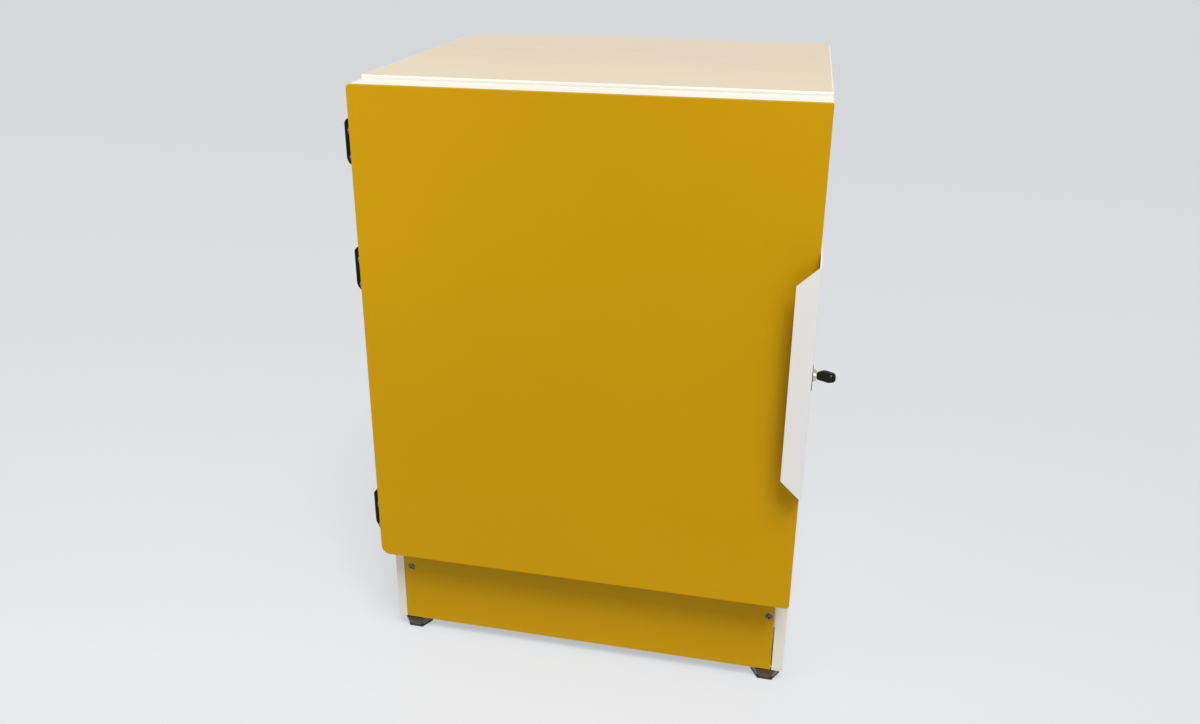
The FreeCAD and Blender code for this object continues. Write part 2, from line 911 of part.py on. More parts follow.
def handle():
    """The folded handle: a flange along the door's edge and a grip that stands in front of the door."""
    y_grip = y_door_front - handle_proud
    y_flange_end = y_door_front + handle_flange
    low = z_door_middle - handle_length / 2
    high = z_door_middle + handle_length / 2
    flange = slab([
        (y_grip, low, 0),
        (y_door_front, low - handle_flange_rise, handle_corner_round),
        (y_flange_end, low - handle_flange_rise, handle_corner_round),
        (y_flange_end, high + handle_flange_rise, handle_corner_round),
        (y_door_front, high + handle_flange_rise, handle_corner_round),
        (y_grip, high, 0),
    ], in_yz(x_out), (handle_sheet, 0, 0))
    bends = [e for e in flange.Edges
             if abs(e.CenterOfMass.x - x_lock_face) < same_place
             and abs(e.CenterOfMass.y - y_grip) < same_place]
    flange = flange.makeFillet(handle_bend, bends)
    grip_edge = x_lock_face - handle_grip
    grip = slab([
        (x_out, low, 0),
        (x_out, high, 0),
        (grip_edge, high - handle_chamfer, handle_corner_round),
        (grip_edge, low + handle_chamfer, handle_corner_round),
    ], in_xz(y_grip), (0, handle_sheet, 0))
    piece = cut_for_handle_and_lock(fused(flange, grip))
    for z in handle_screw_heights():
        piece = piece.cut(countersink(z, hole_play))
    return piece


def countersink(z, play):
    """The cone of one flush screw head in the handle's flange."""
    return cone((x_lock_face, y_lock, z), (-1, 0, 0), handle_screw_head_radius + play,
                handle_screw_radius + play, handle_sheet)


def cut_for_handle_and_lock(piece):
    """Cuts the handle's screw holes and the lock's hole through one piece of the door."""
    length = handle_sheet + door_skin + handle_screw_bite
    for z in handle_screw_heights():
        piece = piece.cut(rod((x_lock_face, y_lock, z), (-1, 0, 0),
                              handle_screw_radius + hole_play, length))
    return piece.cut(rod((x_lock_face, y_lock, z_lock), (-1, 0, 0),
                         lock_barrel_radius + hole_play, lock_barrel_length))


def handle_screws():
    """Countersunk screws, flush with the handle's flange."""
    screws = []
    length = handle_sheet + door_skin + handle_screw_bite
    for z in handle_screw_heights():
        shank = rod((x_lock_face, y_lock, z), (-1, 0, 0), handle_screw_radius, length)
        socket = hexagon(y_lock, z, handle_screw_socket, in_yz(x_lock_face),
                         (-handle_sheet * socket_depth_share, 0, 0))
        screws.append(fused(shank, countersink(z, 0)).cut(socket))
    return Part.makeCompound(screws)


# Lock and key

def lock_housing():
    """The lock's barrel, face plate and collar, bored for the plug."""
    barrel = rod((x_barrel_end, y_lock, z_lock), (1, 0, 0), lock_barrel_radius,
                 lock_barrel_length)
    middle = z_lock - lock_plate_drop
    half_height = lock_plate_height / 2
    half_width = lock_plate_width / 2
    plate = slab(plate_corners(y_lock - half_width, y_lock + half_width, middle - half_height,
                               middle + half_height, half_width - least_flat),
                 in_yz(x_lock_face), (lock_plate, 0, 0))
    collar = cone((x_lock_plate, y_lock, z_lock), (1, 0, 0), lock_collar_radius,
                  lock_collar_tip_radius, lock_collar_length)
    bore = rod((x_barrel_end, y_lock, z_lock), (1, 0, 0), lock_plug_radius + running,
               x_lock_nose - x_barrel_end)
    return fused(barrel, plate, collar).cut(bore)


def lock_nut():
    """The ring nut that holds the lock against the door's edge from inside."""
    start = x_out - door_skin
    nut = rod((start, y_lock, z_lock), (-1, 0, 0), lock_nut_radius, lock_nut_thickness)
    bore = rod((start, y_lock, z_lock), (-1, 0, 0), lock_barrel_radius + hole_play,
               lock_nut_thickness)
    return nut.cut(bore)


def lock_plug():
    """The plug that the key turns, with its keyway."""
    start = x_barrel_end - hole_play
    plug = rod((start, y_lock, z_lock), (1, 0, 0), lock_plug_radius, x_lock_nose - start)
    half_thick = key_blade_thickness / 2 + key_play
    half_tall = key_blade_height / 2 + key_play
    keyway = box(x_lock_nose - key_blade_length - key_end_gap, x_lock_nose,
                 y_lock - half_thick, y_lock + half_thick, z_lock - half_tall,
                 z_lock + half_tall)
    thread = rod((start, y_lock, z_lock), (1, 0, 0), cam_screw_radius + hole_play,
                 cam_screw_length - cam_thickness)
    return plug.cut(keyway).cut(thread)


def lock_cam():
    """The hooked cam, hanging down inside the door while the lock is open."""
    half = cam_width / 2
    hook_top = half + cam_hook
    points = [
        (-cam_tail, -half, cam_tail_round),
        (cam_reach, -half, cam_end_round),
        (cam_reach, hook_top, cam_hook_round),
        (cam_hook_start, hook_top, cam_hook_round),
        (cam_hook_start, half, least_radius),
        (-cam_tail, half, cam_tail_round),
    ]

    def hanging(u, w):
        return V(x_cam, y_lock + w, z_lock - u)

    cam = slab(points, hanging, (cam_thickness, 0, 0))
    return cam.cut(rod((x_cam, y_lock, z_lock), (1, 0, 0), cam_screw_radius + hole_play,
                       cam_thickness))


def cam_screw():
    """The screw that holds the cam on the plug."""
    head = rod((x_cam_screw, y_lock, z_lock), (1, 0, 0), cam_screw_head_radius,
               cam_screw_head)
    shank = rod((x_cam, y_lock, z_lock), (1, 0, 0), cam_screw_radius, cam_screw_length)
    socket = hexagon(y_lock, z_lock, cam_screw_socket, in_yz(x_cam_screw),
                     (cam_screw_head * socket_depth_share, 0, 0))
    return fused(head, shank).cut(socket)


def lock_keeper():
    """The angle on the cabinet's inner wall that the hook catches behind."""
    low = z_lock + cam_width / 2 + keeper_clearance
    high = low + keeper_height
    leg_x = x_in - keeper_thickness
    reach_x = x_cam - 2 * keeper_clearance
    catch = box(reach_x, x_in, y_keeper, y_keeper_back, low, high)
    leg = box(leg_x, x_in, y_keeper, y_keeper + keeper_depth, low, high)
    return fused(catch, leg)


def key_blade():
    """The key's metal blade with its row of cuts, pushed fully into the plug."""
    blade_end = x_lock_nose - key_blade_length
    head_start = x_lock_nose + key_shoulder
    half_thick = key_blade_thickness / 2
    half_tall = key_blade_height / 2
    points = [
        (head_start, -half_tall, 0),
        (head_start, half_tall, 0),
        (blade_end + key_tip, half_tall, 0),
        (blade_end, half_tall - key_tip, 0),
        (blade_end, key_tip - half_tall, 0),
    ]
    for i, depth in enumerate(key_cut_depths):
        middle = blade_end + key_tip + key_cut_pitch * (i + 0.5)
        for along, up in ((-key_cut_pitch / 2, 0), (-key_cut_flat / 2, depth),
                          (key_cut_flat / 2, depth)):
            points.append((middle + along, up - half_tall, 0))
    points.append((blade_end + key_tip + key_cut_pitch * len(key_cut_depths), -half_tall, 0))

    def upright(u, w):
        return V(u, y_lock - half_thick, z_lock + w)

    return slab(points, upright, (0, key_blade_thickness, 0))


def key_head():
    """The key's oval plastic head, with a hole for a ring."""
    start = x_lock_nose + key_shoulder
    end = start + key_head_length
    neck = key_neck_height / 2
    points = [
        (start, -neck, key_neck_round),
        (start + key_low_bulge, -key_head_low, key_bulge_round),
        (end, -key_end_low, key_end_round),
        (end, key_end_high, key_end_round),
        (start + key_high_bulge, key_head_high, key_bulge_round),
        (start, neck, key_neck_round),
    ]

    def upright(u, w):
        return V(u, y_lock - key_head_thickness / 2, z_lock + w)

    head = slab(points, upright, (0, key_head_thickness, 0))
    hole_x = end - key_ring_hole_inset
    hole = rod((hole_x, y_lock - key_head_thickness, z_lock + key_ring_hole_rise), (0, 1, 0),
               key_ring_hole_radius, 2 * key_head_thickness)
    return head.cut(hole)


def save(node, shape):
    """Checks that a node is made of sound solids, and writes it."""
    for solid in shape.Solids:
        if not solid.isValid() or solid.Volume <= 0:
            raise ValueError("not a sound solid: " + node)
    if not shape.Solids:
        raise ValueError("no solid in " + node)
    shape.exportStep("parts/" + node + ".step")


def build():
    """Every node of the cabinet, by name."""
    nodes = {
        "side_panel_left": side_panel(-1),
        "side_panel_right": side_panel(1),
        "back_panel": back_panel(),
        "back_panel_rivets": back_panel_rivets(),
        "base_tray": base_tray(),
        "roof_tray": roof_tray(),
        "worktop_core": worktop_core(),
        "worktop_laminate": worktop_laminate(),
        "worktop_edging": worktop_edging(),
        "plinth_panel": plinth_panel(),
        "plinth_brackets": plinth_brackets(),
        "plinth_screws": plinth_screws(),
        "lead_left": lead_left(),
        "lead_right": lead_right(),
        "lead_back": lead_back(),
        "lead_base": lead_base(),
        "lead_top": lead_top(),
        "liner_left": liner_side(-1),
        "liner_right": liner_side(1),
        "liner_back": liner_back(),
        "liner_base": liner_base(),
        "liner_top": liner_top(),
        "shelf": shelf(),
        "shelf_pegs": shelf_pegs(),
        "foot_brackets": foot_brackets(),
        "door_seal": door_seal(),
        "lock_keeper": lock_keeper(),
        "hinge_pins": hinge_pins(),
        "hinge_backing_blocks": hinge_backing_blocks(),
        "hinge_screws_cabinet": hinge_screws(1),
        "hinge_screws_door": hinge_screws(-1),
        "door_front_panel": door_front_panel(),
        "door_casing": door_casing(),
        "door_lead": door_lead_sheet(),
        "door_frame": door_frame(),
        "door_infill": door_infill_space(),
        "door_inner_panel": door_inner_panel(),
        "handle": handle(),
        "handle_screws": handle_screws(),
        "lock_housing": lock_housing(),
        "lock_nut": lock_nut(),
        "lock_plug": lock_plug(),
        "lock_cam": lock_cam(),
        "cam_screw": cam_screw(),
        "key_blade": key_blade(),
        "key_head": key_head(),
    }
    for place, z in hinge_heights.items():
        nodes["hinge_" + place + "_cabinet_leaf"] = hinge_leaf(z, 1)
        nodes["hinge_" + place + "_door_leaf"] = hinge_leaf(z, -1)
    for place, (x, y) in foot_places.items():
        nodes["foot_stud_" + place] = foot_stud(x, y)
        nodes["foot_pad_" + place] = foot_pad(x, y)
    return nodes


def main():
    os.makedirs("parts", exist_ok=True)
    for node, shape in build().items():
        save(node, shape)


main()
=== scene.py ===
import json
import math

import bmesh
import bpy
from mathutils import Matrix, Vector


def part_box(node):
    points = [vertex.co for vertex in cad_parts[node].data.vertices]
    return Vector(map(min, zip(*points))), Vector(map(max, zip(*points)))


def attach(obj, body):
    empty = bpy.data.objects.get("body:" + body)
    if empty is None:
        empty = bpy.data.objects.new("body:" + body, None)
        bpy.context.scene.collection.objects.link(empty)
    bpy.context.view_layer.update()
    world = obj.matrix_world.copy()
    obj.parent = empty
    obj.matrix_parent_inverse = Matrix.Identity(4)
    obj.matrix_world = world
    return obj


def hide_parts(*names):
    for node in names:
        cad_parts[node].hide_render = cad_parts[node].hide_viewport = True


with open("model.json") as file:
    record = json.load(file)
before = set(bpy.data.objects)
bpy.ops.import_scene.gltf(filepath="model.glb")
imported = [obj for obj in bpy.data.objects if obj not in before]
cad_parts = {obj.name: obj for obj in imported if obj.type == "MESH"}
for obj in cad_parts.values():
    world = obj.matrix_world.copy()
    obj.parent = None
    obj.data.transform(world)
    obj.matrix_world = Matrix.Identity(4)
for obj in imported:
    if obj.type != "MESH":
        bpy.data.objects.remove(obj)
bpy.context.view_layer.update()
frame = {"nodes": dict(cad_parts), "record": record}

# The looks of a lead-lined cabinet: camera, floor and light, finishes, and the finer pieces.
# Lengths are in metres, in the cabinet's own frame: X to the right, Y to the back, Z up.

MM = 0.001


# Camera, from the photograph's own perspective

PICTURE_WIDTH = 1200
PICTURE_HEIGHT = 724
PICTURE_CENTRE = (580.4, 289.8)
FOCAL_PIXELS = 1011.4
SENSOR_WIDTH = 36.0
CAMERA_PLACE = (0.2641, -1.4394, 1.0763)
CAMERA_TURN = 12.346
CAMERA_DIP = 20.641
CAMERA_ROLL = 0.133
CAMERA_CLIP_START = 0.05


def make_camera():
    """A camera fitted to the perspective of the photograph."""
    data = bpy.data.cameras.new("camera")
    data.sensor_width = SENSOR_WIDTH
    data.lens = SENSOR_WIDTH * FOCAL_PIXELS / PICTURE_WIDTH
    data.shift_x = (PICTURE_WIDTH / 2 - PICTURE_CENTRE[0]) / PICTURE_WIDTH
    data.shift_y = (PICTURE_CENTRE[1] - PICTURE_HEIGHT / 2) / PICTURE_WIDTH
    data.clip_start = CAMERA_CLIP_START
    camera = bpy.data.objects.new("camera", data)
    bpy.context.collection.objects.link(camera)
    turn = Matrix.Rotation(math.radians(CAMERA_TURN), 4, "Z")
    dip = Matrix.Rotation(math.radians(90 - CAMERA_DIP), 4, "X")
    roll = Matrix.Rotation(math.radians(CAMERA_ROLL), 4, "Z")
    camera.matrix_world = Matrix.Translation(CAMERA_PLACE) @ turn @ dip @ roll
    bpy.context.scene.camera = camera


# Floor and light

FLOOR_RADIUS = 30.0
FLOOR_SEGMENTS = 96
FLOOR_CLOUD_SIZE = 1.6
FLOOR_COLOUR = (0.555, 0.562, 0.578)
# Painted light on the floor: the glow's tones near the cabinet and far off, and its share of what is
# seen.
FLOOR_PAINTED_LIGHT_NEAR = (0.950, 0.972, 0.999)
FLOOR_PAINTED_LIGHT_FAR = (0.770, 0.785, 0.803)
FLOOR_NEAR_Y = -0.35
FLOOR_FAR_Y = 5.0
FLOOR_PAINTED_LIGHT_SHARE = 0.50
WORLD_COLOUR = (0.97, 0.98, 1.0)
WORLD_STRENGTH = 0.30
WORLD_SHOWN = (0.650, 0.665, 0.685)
SUN_STRENGTH = 2.6
SUN_ANGLE = 25.0
SUN_FROM = (0.22, -0.55, 1.10)
PANEL_WIDTH = 0.5
PANEL_HEIGHT = 0.8
LEFT_PANEL_PLACE = (-0.80, -0.95, 1.20)
LEFT_PANEL_AIM = (-0.30, -0.25, 0.75)
LEFT_PANEL_POWER = 4
RIGHT_PANEL_PLACE = (0.80, -0.90, 1.25)
RIGHT_PANEL_AIM = (0.30, -0.25, 0.80)
RIGHT_PANEL_POWER = 3


def make_floor():
    """A wide pale floor, and nothing behind the cabinet. A share of what is seen of it is painted light:
    a glow, lighter near the cabinet and darker far off, which lifts the shadow on it.
    """
    mesh = bpy.data.meshes.new("floor")
    shape = bmesh.new()
    bmesh.ops.create_circle(shape, cap_ends=True, segments=FLOOR_SEGMENTS, radius=FLOOR_RADIUS)
    shape.to_mesh(mesh)
    shape.free()
    floor = bpy.data.objects.new("floor", mesh)
    bpy.context.collection.objects.link(floor)
    finish = Finish("floor_finish", roughness=0.8, specular=0.1)
    clouds = finish.noise(FLOOR_CLOUD_SIZE, detail=2)
    finish.colour(finish.blend(clouds, shade(FLOOR_COLOUR, 0.985), shade(FLOOR_COLOUR, 1.015)))
    # Painted falloff of light: the glow grows darker further from the cabinet.
    painted_falloff = finish.arithmetic("SQRT", finish.fit(finish.along("Y"), FLOOR_NEAR_Y, FLOOR_FAR_Y))
    finish.paint_light_where_seen(finish.blend(painted_falloff, FLOOR_PAINTED_LIGHT_NEAR, FLOOR_PAINTED_LIGHT_FAR), FLOOR_PAINTED_LIGHT_SHARE)
    mesh.materials.append(finish.material)


def add_seen(tree):
    """1 where a camera, a mirror or glass looks, and 0 for every other ray."""
    path = tree.nodes.new("ShaderNodeLightPath")
    seen = path.outputs["Is Camera Ray"]
    for name in ("Is Glossy Ray", "Is Transmission Ray"):
        either = tree.nodes.new("ShaderNodeMath")
        either.operation = "MAXIMUM"
        tree.links.new(seen, either.inputs[0])
        tree.links.new(path.outputs[name], either.inputs[1])
        seen = either.outputs["Value"]
    return seen


def make_world():
    """An even pale sky that lights the scene, with a tone of its own where it is seen."""
    world = bpy.data.worlds.new("world")
    world.use_nodes = True
    tree = world.node_tree
    light = tree.nodes["Background"]
    light.inputs["Color"].default_value = (*WORLD_COLOUR, 1)
    light.inputs["Strength"].default_value = WORLD_STRENGTH
    shown = tree.nodes.new("ShaderNodeBackground")
    shown.inputs["Color"].default_value = (*WORLD_SHOWN, 1)
    mix = tree.nodes.new("ShaderNodeMixShader")
    tree.links.new(add_seen(tree), mix.inputs[0])
    tree.links.new(light.outputs["Background"], mix.inputs[1])
    tree.links.new(shown.outputs["Background"], mix.inputs[2])
    tree.links.new(mix.outputs["Shader"], tree.nodes["World Output"].inputs["Surface"])
    bpy.context.scene.world = world


def add_sun():
    """A broad far light, which lights the cabinet and the floor alike."""
    data = bpy.data.lights.new("key", "SUN")
    data.energy = SUN_STRENGTH
    data.angle = math.radians(SUN_ANGLE)
    light = bpy.data.objects.new("key", data)
    light.rotation_euler = Vector(SUN_FROM).to_track_quat("Z", "Y").to_euler()
    bpy.context.collection.objects.link(light)


def add_panel(name, place, aim, power):
    """A soft box that stands near the cabinet."""
    data = bpy.data.lights.new(name, "AREA")
    data.shape = "RECTANGLE"
    data.size = PANEL_WIDTH
    data.size_y = PANEL_HEIGHT
    data.energy = power
    light = bpy.data.objects.new(name, data)
    light.visible_camera = False
    light.location = place
    light.rotation_euler = (Vector(place) - Vector(aim)).to_track_quat("Z", "Y").to_euler()
    bpy.context.collection.objects.link(light)


def make_light():
    """Soft studio light from above and in front, with a soft box near each side of the door."""
    make_world()
    add_sun()
    add_panel("left_panel", LEFT_PANEL_PLACE, LEFT_PANEL_AIM, LEFT_PANEL_POWER)
    add_panel("right_panel", RIGHT_PANEL_PLACE, RIGHT_PANEL_AIM, RIGHT_PANEL_POWER)
    bpy.context.scene.view_settings.view_transform = "Standard"


# Finishes

EDGE_SAMPLES = 4
EDGE_FLAT = 0.995
EDGE_SHARP = 0.80

# Blender's Mix node has one set of sockets for each kind of data. These are the ones for colours.
MIX_SHARE = 0
MIX_FIRST = 6
MIX_SECOND = 7
MIX_RESULT = 2

TIMBER_STRETCH = (14, 1, 1)
ZINC_BLUE = (0.91, 0.93, 0.98)
ZINC_STRAW = (1.09, 1.04, 0.91)


def shade(colour, share):
    """A colour made lighter or darker by a share."""
    return tuple(min(1.0, part * share) for part in colour)


class Finish:
    """One material: a Principled shader, and short calls that add its pattern nodes."""

    def __init__(self, name, roughness=0.5, metallic=0.0, specular=0.5):
        self.material = bpy.data.materials.new(name)
        self.material.use_nodes = True
        self.tree = self.material.node_tree
        self.shader = self.tree.nodes["Principled BSDF"]
        self.shader.inputs["Roughness"].default_value = roughness
        self.shader.inputs["Metallic"].default_value = metallic
        self.shader.inputs["Specular IOR Level"].default_value = specular
        self.coordinates = self.tree.nodes.new("ShaderNodeTexCoord").outputs["Object"]

    def put(self, socket, value):
        """Links a socket to a socket, or sets it to a number or colour."""
        if isinstance(value, bpy.types.NodeSocket):
            self.tree.links.new(value, socket)
        elif socket.type == "RGBA":
            socket.default_value = (*value[:3], 1)
        else:
            socket.default_value = value

    def place(self, stretch):
        """Object coordinates, stretched along the three axes."""
        if stretch == (1, 1, 1):
            return self.coordinates
        node = self.tree.nodes.new("ShaderNodeMapping")
        node.inputs["Scale"].default_value = [1 / s for s in stretch]
        self.put(node.inputs["Vector"], self.coordinates)
        return node.outputs["Vector"]

    def noise(self, size, detail=2.0, rough=0.5, stretch=(1, 1, 1), twist=0.0):
        """Soft noise with features of a size, from 0 to 1."""
        node = self.tree.nodes.new("ShaderNodeTexNoise")
        node.inputs["Scale"].default_value = 1 / size
        node.inputs["Detail"].default_value = detail
        node.inputs["Roughness"].default_value = rough
        node.inputs["Distortion"].default_value = twist
        self.put(node.inputs["Vector"], self.place(stretch))
        return node.outputs["Fac"]

    def cells(self, size, stretch=(1, 1, 1), output="Distance"):
        """A pattern of cells of a size."""
        node = self.tree.nodes.new("ShaderNodeTexVoronoi")
        node.inputs["Scale"].default_value = 1 / size
        self.put(node.inputs["Vector"], self.place(stretch))
        return node.outputs[output]

    def along(self, axis):
        """One of the three object coordinates, in metres."""
        node = self.tree.nodes.new("ShaderNodeSeparateXYZ")
        self.put(node.inputs["Vector"], self.coordinates)
        return node.outputs[axis]

    def arithmetic(self, operation, first, second=0.0):
        """One step of arithmetic on values."""
        node = self.tree.nodes.new("ShaderNodeMath")
        node.operation = operation
        self.put(node.inputs[0], first)
        self.put(node.inputs[1], second)
        return node.outputs["Value"]

    def fit(self, value, start, end, low=0.0, high=1.0):
        """Maps a value from one range to another, and holds it there."""
        node = self.tree.nodes.new("ShaderNodeMapRange")
        node.inputs["From Min"].default_value = start
        node.inputs["From Max"].default_value = end
        node.inputs["To Min"].default_value = low
        node.inputs["To Max"].default_value = high
        self.put(node.inputs["Value"], value)
        return node.outputs["Result"]

    def blend(self, share, first, second):
        """A mix of two colours."""
        node = self.tree.nodes.new("ShaderNodeMix")
        node.data_type = "RGBA"
        self.put(node.inputs[MIX_SHARE], share)
        self.put(node.inputs[MIX_FIRST], first)
        self.put(node.inputs[MIX_SECOND], second)
        return node.outputs[MIX_RESULT]

    def edges(self, radius):
        """1 on edges and corners, 0 on flat faces."""
        soft = self.tree.nodes.new("ShaderNodeBevel")
        soft.samples = EDGE_SAMPLES
        soft.inputs["Radius"].default_value = radius
        plain = self.tree.nodes.new("ShaderNodeNewGeometry")
        match = self.tree.nodes.new("ShaderNodeVectorMath")
        match.operation = "DOT_PRODUCT"
        self.put(match.inputs[0], soft.outputs["Normal"])
        self.put(match.inputs[1], plain.outputs["Normal"])
        return self.fit(match.outputs["Value"], EDGE_FLAT, EDGE_SHARP)

    def paint_light_where_seen(self, colour, share):
        """Mixes in a glow of a colour where a camera, a mirror or glass looks at the surface: painted
        light, which lifts the shade and shadow on it.
        """
        glow = self.tree.nodes.new("ShaderNodeEmission")
        self.put(glow.inputs["Color"], colour)
        mix = self.tree.nodes.new("ShaderNodeMixShader")
        self.put(mix.inputs[0], self.arithmetic("MULTIPLY", add_seen(self.tree), share))
        self.tree.links.new(self.shader.outputs["BSDF"], mix.inputs[1])
        self.tree.links.new(glow.outputs["Emission"], mix.inputs[2])
        output = self.tree.nodes["Material Output"]
        self.tree.links.new(mix.outputs["Shader"], output.inputs["Surface"])

    def colour(self, value):
        """Sets the base colour."""
        self.put(self.shader.inputs["Base Color"], value)

    def rough(self, value):
        """Sets the roughness."""
        self.put(self.shader.inputs["Roughness"], value)

    def bump(self, height, depth):
        """Raises and lowers the surface by a height pattern."""
        node = self.tree.nodes.new("ShaderNodeBump")
        node.inputs["Distance"].default_value = depth
        before = self.shader.inputs["Normal"].links
        if before:
            self.put(node.inputs["Normal"], before[0].from_socket)
        self.put(node.inputs["Height"], height)
        self.put(self.shader.inputs["Normal"], node.outputs["Normal"])


def powder_coat(name, colour, roughness, specular, peel=0.05 * MM, worn=None):
    """Baked powder paint: orange peel, cloudy tone and faint smudges. Its edges wear, if given a tone."""
    finish = Finish(name, roughness, specular=specular)
    clouds = finish.noise(350 * MM, detail=3)
    specks = finish.noise(1.2 * MM, detail=1)
    tone = finish.blend(finish.fit(clouds, 0.3, 0.7), shade(colour, 0.975), shade(colour, 1.02))
    tone = finish.blend(finish.fit(specks, 0.62, 0.75, 0, 0.25), tone, shade(colour, 0.88))
    if worn:
        edge = finish.arithmetic("MULTIPLY", finish.edges(1.2 * MM), finish.noise(6 * MM, detail=4))
        tone = finish.blend(finish.fit(edge, 0.25, 0.6, 0, 0.7), tone, worn)
    finish.colour(tone)
    smudges = finish.noise(70 * MM, detail=5, rough=0.65, twist=0.4)
    finish.rough(finish.fit(smudges, 0.3, 0.75, roughness - 0.03, roughness + 0.07))
    finish.bump(finish.noise(2.8 * MM, detail=2), peel)
    return finish.material


def laminate(name, colour):
    """Pressed laminate: a fine mottle and a pearl surface."""
    finish = Finish(name, 0.42, specular=0.15)
    clouds = finish.noise(250 * MM, detail=4)
    grains = finish.noise(1.5 * MM, detail=2)
    flecks = finish.cells(4.5 * MM)
    tone = finish.blend(clouds, shade(colour, 0.985), shade(colour, 1.015))
    tone = finish.blend(finish.fit(grains, 0.5, 0.8, 0, 0.35), tone, shade(colour, 0.9))
    tone = finish.blend(finish.fit(flecks, 0.10, 0.0, 0, 0.5), tone, shade(colour, 0.78))
    finish.colour(tone)
    finish.rough(finish.fit(finish.noise(50 * MM, detail=5), 0.3, 0.7, 0.38, 0.50))
    finish.bump(finish.noise(0.9 * MM, detail=2), 0.02 * MM)
    return finish.material


def moulded(name, colour, roughness, grain=0.7 * MM, depth=0.02 * MM, specular=0.5):
    """Moulded plastic or rubber: a fine sparked grain and patches of dust."""
    finish = Finish(name, roughness, specular=specular)
    dust = finish.noise(12 * MM, detail=5, rough=0.7)
    dusty = tuple(1.5 * part + 0.004 for part in colour)
    finish.colour(finish.blend(finish.fit(dust, 0.45, 0.8, 0, 0.5), colour, dusty))
    finish.rough(finish.fit(dust, 0.3, 0.75, roughness - 0.05, roughness + 0.1))
    finish.bump(finish.noise(grain, detail=1), depth)
    return finish.material


def edging_plastic(name, colour):
    """The worktop's extruded edge strip: smooth, with faint lines along it."""
    finish = Finish(name, 0.36, specular=0.35)
    lines = finish.noise(0.8 * MM, detail=1, stretch=(60, 60, 1))
    tone = finish.blend(finish.noise(150 * MM, detail=3), shade(colour, 0.98), shade(colour, 1.01))
    tone = finish.blend(finish.fit(lines, 0.4, 0.8, 0, 0.2), tone, shade(colour, 0.92))
    finish.colour(tone)
    finish.rough(finish.fit(finish.noise(30 * MM, detail=5), 0.3, 0.7, 0.32, 0.44))
    finish.bump(lines, 0.01 * MM)
    return finish.material


def brushed_steel(name, colour):
    """Sheet steel with its grain along the sheet, and a few scuffs."""
    finish = Finish(name, 0.34, metallic=1.0)
    grain = finish.noise(0.6 * MM, detail=3, stretch=(40, 40, 1))
    clouds = finish.noise(120 * MM, detail=4)
    tone = finish.blend(grain, shade(colour, 0.88), shade(colour, 1.08))
    tone = finish.blend(finish.fit(clouds, 0.3, 0.8, 0, 0.3), tone, shade(colour, 0.86))
    finish.colour(tone)
    brushed = finish.fit(grain, 0.3, 0.7, 0.24, 0.38)
    scuffed = finish.fit(clouds, 0.3, 0.8, 0, 0.08)
    finish.rough(finish.arithmetic("ADD", brushed, scuffed))
    finish.bump(grain, 0.012 * MM)
    return finish.material


def zinc(name, colour):
    """Zinc-plated steel: a soft spangle with a faint blue and straw tint."""
    finish = Finish(name, 0.36, metallic=1.0)
    spangle = finish.cells(4 * MM)
    tint = finish.noise(20 * MM, detail=3)
    blue = tuple(part * share for part, share in zip(colour, ZINC_BLUE))
    straw = tuple(part * share for part, share in zip(colour, ZINC_STRAW))
    tone = finish.blend(tint, blue, straw)
    tone = finish.blend(finish.fit(spangle, 0, 0.9, 0, 0.3), tone, shade(colour, 1.15))
    finish.colour(tone)
    finish.rough(finish.fit(spangle, 0, 0.8, 0.28, 0.44))
    finish.bump(finish.noise(1.5 * MM, detail=3), 0.02 * MM)
    return finish.material


def dark_metal(name, colour, roughness, bright):
    """Blackened steel, rubbed bright along its edges."""
    finish = Finish(name, roughness, metallic=1.0)
    patina = finish.noise(4 * MM, detail=5, rough=0.6)
    tone = finish.blend(finish.fit(patina, 0.3, 0.75), shade(colour, 0.75), shade(colour, 1.35))
    rub = finish.arithmetic("MULTIPLY", finish.edges(0.8 * MM), finish.noise(1.5 * MM, detail=4))
    tone = finish.blend(finish.fit(rub, 0.15, 0.5), tone, bright)
    finish.colour(tone)
    finish.rough(finish.fit(patina, 0.3, 0.8, roughness - 0.06, roughness + 0.12))
    finish.bump(finish.noise(0.8 * MM, detail=3), 0.01 * MM)
    return finish.material


def plated(name, colour, roughness, darker_inwards=None):
    """Bright plating with fine hairlines and a few spots. Its colour is darker inwards of one X, if
    given.
    """
    finish = Finish(name, roughness, metallic=1.0)
    hairs = finish.noise(0.4 * MM, detail=3, stretch=(1, 12, 12))
    spots = finish.noise(3 * MM, detail=5, rough=0.7)
    tone = finish.blend(finish.fit(spots, 0.5, 0.8, 0, 0.5), colour, shade(colour, 0.6))
    if darker_inwards:
        dark_from_x, dark_colour = darker_inwards
        inward = finish.fit(finish.along("X"), dark_from_x + 0.1 * MM, dark_from_x - 0.1 * MM)
        tone = finish.blend(inward, tone, dark_colour)
    finish.colour(tone)
    finish.rough(finish.fit(hairs, 0.3, 0.75, roughness - 0.04, roughness + 0.12))
    finish.bump(hairs, 0.006 * MM)
    return finish.material


def lead_sheet(name, colour):
    """Dull rolled lead with pale bloom and soft dents."""
    finish = Finish(name, 0.62, metallic=0.85)
    bloom = finish.noise(50 * MM, detail=6, rough=0.65, twist=0.5)
    rolling = finish.noise(2 * MM, detail=3, stretch=(1, 30, 30))
    pale = tuple(part + 0.14 for part in colour)
    tone = finish.blend(finish.fit(bloom, 0.35, 0.75), shade(colour, 0.8), pale)
    tone = finish.blend(finish.fit(rolling, 0.4, 0.8, 0, 0.3), tone, shade(colour, 0.7))
    finish.colour(tone)
    finish.rough(finish.fit(bloom, 0.3, 0.75, 0.5, 0.75))
    finish.bump(rolling, 0.04 * MM)
    finish.bump(finish.noise(40 * MM, detail=2), 0.6 * MM)
    return finish.material


